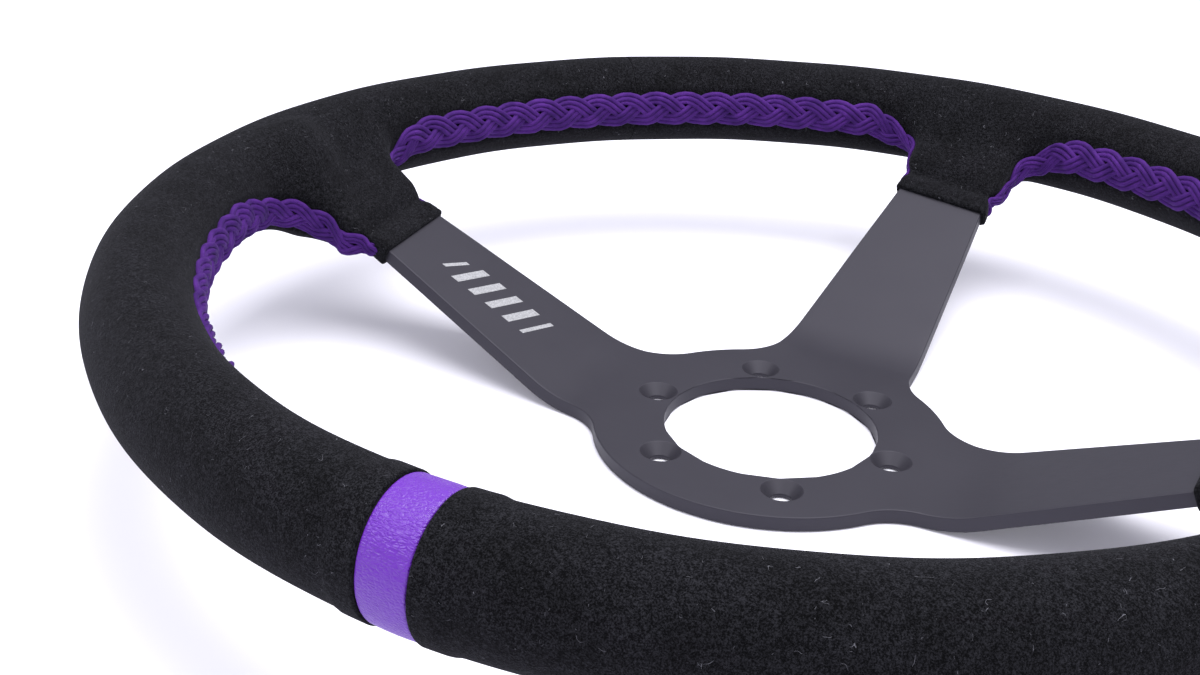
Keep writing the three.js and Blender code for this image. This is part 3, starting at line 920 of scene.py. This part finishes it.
def tube(centres, outwards, radii, sides=8, closed=False):
    """Points and faces of a thread along a line; `outwards` is the surface's direction."""
    n = len(centres)
    if closed:
        ahead = np.roll(centres, -1, axis=0) - np.roll(centres, 1, axis=0)
    else:
        ahead = np.gradient(centres, axis=0)
    ahead = unit(ahead)
    beside = unit(np.cross(ahead, outwards))
    over = np.cross(beside, ahead)
    turns = np.arange(sides) * 2 * math.pi / sides
    cosines, sines = np.cos(turns)[None, :, None], np.sin(turns)[None, :, None]
    ring = cosines * beside[:, None] + sines * over[:, None]
    points = (centres[:, None] + ring * np.asarray(radii).reshape(n, -1, 1)).reshape(-1, 3)
    index = np.arange(n * sides).reshape(n, sides)
    if closed:
        index = np.concatenate([index, index[:1]])
    low, high = index[:-1], index[1:]
    faces = np.stack([low, high, np.roll(high, -1, axis=1), np.roll(low, -1, axis=1)], axis=-1)
    faces = faces.reshape(-1, 4)[:, ::-1].tolist()
    if not closed:
        faces += [index[0].tolist(), index[-1][::-1].tolist()]
    return points, faces


def joined(parts):
    points, faces, start = [], [], 0
    for p, f in parts:
        points.append(p)
        faces += [[i + start for i in face] for face in f]
        start += len(p)
    return np.concatenate(points), faces


def on_band(line, steps, offset, height):
    """Points over the cover, by distance along the band and across it."""
    p = at_steps(steps, line["steps"], line["points"])
    b = at_steps(steps, line["steps"], line["across"])
    p = onto(skin_distance, p + b * offset[:, None], 4)
    normal = slope_of(skin_distance, p)
    return p + normal * height[:, None], normal


def lacing_threads(line):
    """The plait along one window: strands that weave, each of a few threads side by side."""
    total = line["steps"][-1] - 2 * LACE_END
    pitches = round(total / LACE_PITCH)
    turns_per_mm = 2 * math.pi * pitches / LACE_STRANDS / total
    s = np.arange(0, total, LACE_SAMPLE)
    scale = np.interp(s + LACE_END, line["steps"], line["scale"])
    ends = 1 - smoothstep(np.minimum(s, total - s) / 3.0)
    parts = []
    for strand in range(LACE_STRANDS):
        t = s * turns_per_mm + strand * 2 * math.pi / LACE_STRANDS
        x = LACE_HALF_WIDTH * scale * np.sin(t)
        lean = LACE_HALF_WIDTH * scale * np.cos(t) * turns_per_mm
        lean_length = np.hypot(1, lean)
        height = LACE_HEIGHT + LACE_RISE * np.sin(2 * t) - LACE_DIVE * np.abs(np.sin(t)) ** 10
        height = height * scale - LACE_TUCK * ends
        for thread in range(LACE_THREADS):
            beside = (thread - (LACE_THREADS - 1) / 2) * LACE_SPACING * LACE_THREAD_RADIUS * scale
            centre_lift = LACE_CENTRE_LIFT if thread == 1 else 0.0
            steps = LACE_END + np.clip(s - beside * lean / lean_length, 0, total)
            offset = x + beside / lean_length
            p, normal = on_band(line, steps, offset, height + centre_lift)
            twist = np.cos(
                2 * (np.arange(10)[None] * math.pi / 5 + s[:, None] * 1.6 + thread)
            )
            radii = LACE_THREAD_RADIUS * scale[:, None] * (1 + 0.06 * twist)
            parts.append(tube(p, normal, radii, 10))
    return joined(parts)


def make_lacing():
    dark, light = (0.034, 0.009, 0.095, 1.0), (0.105, 0.027, 0.25, 1.0)
    thread = thread_material("purple_thread", dark, light)
    for name, line in WINDOWS.items():
        points, faces = lacing_threads(line)
        make_piece(f"{name}_thread", points, faces, thread, "lacing_thread", [name])


def make_seam_threads():
    thread = thread_material("black_thread", grey(0.006), grey(0.02))
    turns = np.linspace(0, 2 * math.pi, 900, endpoint=False)
    stitches = 34
    lift = 0.25 * np.abs(np.sin(turns * stitches / 2)) ** 0.7
    radii = 0.16 + 0.12 * np.abs(np.sin(turns * stitches / 2)) ** 0.5

    def make_thread(node, p):
        parts = tube(p, slope_of(skin_distance, p), radii, 8, closed=True)
        make_piece(f"{node}_stitches", *parts, thread, "seam_thread", [node])

    for name, side in (("right", -1), ("left", 1)):
        offset = np.full(len(turns), side * (STRIPE_HALF_WIDTH + SEAM_GAP / 2))
        make_thread(f"stripe_seam_thread_{name}", on_grip(offset, turns, -1.0 + lift))
    for name, azimuth in zip(("right", "left"), LOWER_SEAMS):
        radius = RIM_RADIUS + GRIP_WIDTH / 2 * np.cos(turns)
        height = RIM_Z + GRIP_HEIGHT / 2 * np.sin(turns)
        p = np.stack([radius * math.cos(azimuth), radius * math.sin(azimuth), height], axis=1)
        p = onto(skin_distance, p, 2)
        p = p + slope_of(skin_distance, p) * (-0.85 + lift)[:, None]
        make_thread(f"lower_seam_thread_{name}", p)


# ------------------------------------------------------------------ hub and spokes


def plate_outline():
    """The plate's outline, anticlockwise, with the spokes' fillets into the hub."""
    x, y = corner_centre(HUB_FILLET, 0, HUB_RADIUS + HUB_FILLET)
    lean = math.atan(SPOKE_TAPER)
    hub_turn = math.atan2(-y, -x)
    fillet = arc_points(x, y, HUB_FILLET, -math.pi / 2 - lean, hub_turn, 24)
    leaving = math.atan2(y, x)
    straight = np.linspace(SPOKE_TIP, fillet[0][0], 60)[:-1]
    side = np.stack([straight, SPOKE_HALF_WIDTH - SPOKE_TAPER * straight], axis=1)
    upper = np.concatenate([side, fillet])
    lower = upper[::-1] * (1, -1)
    one = np.concatenate([lower, upper])
    outline = []
    order = [SPOKES["bottom"][0], SPOKES["right"][0], SPOKES["left"][0]]
    for number, azimuth in enumerate(order):
        c, s = math.cos(azimuth), math.sin(azimuth)
        outline.append(one @ np.array([[c, s], [-s, c]]))
        following = order[(number + 1) % 3]
        gap = (following - azimuth) % (2 * math.pi)
        steps = max(int(math.degrees(gap - 2 * leaving) / 2), 4)
        outline.append(
            arc_points(0, 0, HUB_RADIUS, azimuth + leaving, azimuth + gap - leaving, steps)[1:-1]
        )
    return np.concatenate(outline)


def circle(x, y, radius, steps):
    return arc_points(x, y, radius, 0, 2 * math.pi, steps + 1)[:-1]


def bent(x, y, height):
    """Flat plate coordinates moved onto the bent plate; `height` is from the middle surface."""
    p = np.stack([x, y, np.full(len(x), PLATE / 2)], axis=1)
    normal = np.tile([0.0, 0.0, 1.0], (len(x), 1))
    for azimuth, _, _ in SPOKES.values():
        along, _ = in_spoke(p, azimuth)
        low = HUB_BEND_RADIUS * math.tan(SPOKE_ANGLE / 2)
        low_start, low_end = BEND_AT - low, BEND_AT + low * math.cos(SPOKE_ANGLE)
        high = RIM_BEND_RADIUS * math.tan(SPOKE_ANGLE / 2)
        high_start, high_end = UPPER_BEND_AT - high * math.cos(SPOKE_ANGLE), UPPER_BEND_AT + high
        lean = np.zeros(len(x))
        rise = np.zeros(len(x))
        first = (along > low_start) & (along <= low_end)
        turn = np.arcsin(np.clip((along - low_start) / HUB_BEND_RADIUS, 0, 1))
        lean[first] = turn[first]
        rise[first] = (HUB_BEND_RADIUS * (1 - np.cos(turn)))[first]
        sloped = (along > low_end) & (along <= high_start)
        lean[sloped] = SPOKE_ANGLE
        rise[sloped] = (SPOKE_RISE * (along - BEND_AT))[sloped]
        second = (along > high_start) & (along <= high_end)
        turn = np.arcsin(np.clip((high_end - along) / RIM_BEND_RADIUS, 0, 1))
        lean[second] = turn[second]
        top = SPOKE_END_Z - PLATE / 2
        rise[second] = (top - RIM_BEND_RADIUS * (1 - np.cos(turn)))[second]
        rise[along > high_end] = top
        here = along > low_start
        p[here, 2] += rise[here]
        direction = np.array([math.cos(azimuth), math.sin(azimuth), 0.0])
        tilted = -np.sin(lean)[:, None] * direction + np.cos(lean)[:, None] * np.array([0, 0, 1.0])
        normal[here] = tilted[here]
    return p + normal * height[:, None]


def inset(loop, amount):
    """A closed loop moved to its left, into the plate."""
    ahead = unit(np.roll(loop, -1, axis=0) - np.roll(loop, 1, axis=0))
    left = np.stack([-ahead[:, 1], ahead[:, 0]], axis=1)
    return loop + left * amount


def make_plate():
    half = PLATE / 2
    edge = [(0.40, half), (0.20, half - 0.06), (0.06, half - 0.20), (0.0, half - 0.40)]
    walls = edge + [(a, -h) for a, h in reversed(edge)]
    loops = [
        [(inset(plate_outline(), a), h) for a, h in walls],
        [(inset(circle(0, 0, BORE_RADIUS, 144)[::-1], a), h) for a, h in walls],
    ]
    sink = COUNTERSINK_RADIUS - BOLT_HOLE_RADIUS
    profile = [
        (COUNTERSINK_RADIUS + 0.12, half),
        (COUNTERSINK_RADIUS, half - 0.04),
        (COUNTERSINK_RADIUS - 0.08, half - 0.12),
        (BOLT_HOLE_RADIUS + 0.05, half - sink),
        (BOLT_HOLE_RADIUS, half - sink - 0.1),
        (BOLT_HOLE_RADIUS, -half + 0.2),
        (BOLT_HOLE_RADIUS + 0.2, -half),
    ]
    for number in range(6):
        turn = math.radians(60 * number)
        x, y = BOLT_CIRCLE_RADIUS * math.cos(turn), BOLT_CIRCLE_RADIUS * math.sin(turn)
        loops.append([(circle(x, y, radius, 56)[::-1], h) for radius, h in profile])

    points, faces = [], []
    top, bottom = [], []
    for loop in loops:
        rings = []
        for flat, height in loop:
            start = sum(len(p) for p in points)
            points.append(bent(flat[:, 0], flat[:, 1], np.full(len(flat), height)))
            rings.append(np.arange(start, start + len(flat)))
        for upper, lower in zip(rings[:-1], rings[1:]):
            quads = np.stack([upper, lower, np.roll(lower, -1), np.roll(upper, -1)], axis=1)
            faces += quads.tolist()
        top.append((loop[0][0], rings[0]))
        bottom.append((loop[-1][0], rings[-1]))
    for rim, height in ((top, half), (bottom, -half)):
        flat = np.concatenate([p for p, _ in rim])
        numbers = np.concatenate([ring for _, ring in rim])
        edges, start = [], 0
        for p, _ in rim:
            ring = np.arange(start, start + len(p))
            edges += np.stack([ring, np.roll(ring, -1)], axis=1).tolist()
            start += len(p)
        filling = plate_filling()
        everything = [Vector(p) for p in np.concatenate([flat, filling]).tolist()]
        solved = delaunay_2d_cdt(everything, edges, [], 2, 1e-6)
        where = np.array([tuple(v) for v in solved[0]])
        origin = [group[0] if group else -1 for group in solved[3]]
        start = sum(len(p) for p in points)
        points.append(bent(where[:, 0], where[:, 1], np.full(len(where), height)))
        lookup = [
            numbers[o] if 0 <= o < len(numbers) else start + i for i, o in enumerate(origin)
        ]
        for face in solved[2]:
            centre = where[list(face)].mean(axis=0)
            if not on_plate(centre, flat, rim):
                continue
            ring = [int(lookup[i]) for i in face]
            faces.append(ring if height > 0 else ring[::-1])
    piece = make_piece(
        "spoke_plate_sheet", *only_used(np.concatenate(points), faces), anodised_material(),
        "anodised_aluminium", ["spoke_plate"],
    )
    weighted = piece.modifiers.new("shading", "WEIGHTED_NORMAL")
    weighted.keep_sharp = True


def plate_filling():
    """Rows of points across the spokes' bends, so that the bends come out round."""
    rows = []
    for azimuth, _, _ in SPOKES.values():
        c, s = math.cos(azimuth), math.sin(azimuth)
        for middle, radius in ((BEND_AT, HUB_BEND_RADIUS), (UPPER_BEND_AT, RIM_BEND_RADIUS)):
            bend = radius * math.tan(SPOKE_ANGLE / 2)
            for along in np.linspace(middle - bend, middle + bend, 15):
                wide = SPOKE_HALF_WIDTH - SPOKE_TAPER * along - 0.9
                for side in np.linspace(-wide, wide, 12):
                    rows.append((along * c - side * s, along * s + side * c))
    return np.array(rows)


def on_plate(point, flat, rim):
    """Whether a point is inside the outline and outside every hole."""
    x, y = point
    if math.hypot(x, y) < BORE_RADIUS:
        return False
    for loop, _ in rim[2:]:
        centre = loop.mean(axis=0)
        if math.hypot(x - centre[0], y - centre[1]) < np.linalg.norm(loop[0] - centre) - 1e-3:
            return False
    loop = rim[0][0]
    a, b = loop, np.roll(loop, -1, axis=0)
    spans = (a[:, 1] > y) != (b[:, 1] > y)
    fall = np.where(spans, b[:, 1] - a[:, 1], 1.0)
    crossing = a[:, 0] + (y - a[:, 1]) / fall * (b[:, 0] - a[:, 0])
    return int(np.sum(spans & (x < crossing))) % 2 == 1


def make_print():
    """A plain mark of slanted bars on the spoke at 3 o'clock."""
    azimuth = SPOKES["right"][0]
    c, s = math.cos(azimuth), math.sin(azimuth)
    slant = 3
    # Each bar's start along the spoke, its reach to each side and its thickness.
    bars = [(75, 6.0, 1.3)] + [(at, 6.0, 2.6) for at in (80, 86, 92, 98)] + [(104, 4.0, 1.3)]
    parts = []
    for start, reach, thick in bars:
        corners = [(start, -reach), (start + thick, -reach)]
        corners += [(start + thick + slant, reach), (start + slant, reach)]
        ring = []
        for a, b in zip(corners, corners[1:] + corners[:1]):
            ring += [np.array(a) + (np.array(b) - np.array(a)) * k / 4 for k in range(4)]
        flat = np.array(ring)
        x, y = flat[:, 0] * c - flat[:, 1] * s, flat[:, 0] * s + flat[:, 1] * c
        low = bent(x, y, np.full(len(x), PLATE / 2 - 0.02))
        high = bent(x, y, np.full(len(x), PLATE / 2 + 0.04))
        n = len(x)
        faces = [list(range(n, 2 * n)), list(range(n))[::-1]]
        faces += [[i, (i + 1) % n, n + (i + 1) % n, n + i] for i in range(n)]
        parts.append((np.concatenate([low, high]), faces))
    points, faces = joined(parts)
    make_piece("spoke_mark", points, faces, print_material(), smooth=False)


# ------------------------------------------------------------------ the scene

make_camera()
make_world()
make_floor()
make_light("overhead", 21.0, 1.1, (-0.20, -0.04, 1.12), (0.0, 0.0, 0.0))
make_light("softbox", 3.0, 0.32, (0.52, 0.49, 0.83), (0.0, 0.17, 0.05), shadow=False)
bpy.context.scene.view_settings.view_transform = "Standard"

make_cover()
make_foam()
make_stripe()
make_lacing()
make_seam_threads()
make_plate()
make_print()

metal = bare_metal_material("bare_aluminium")
for name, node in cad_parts.items():
    if name.startswith("rivet_") or name == "rim_core_ring":
        node.data.materials.clear()
        node.data.materials.append(metal)
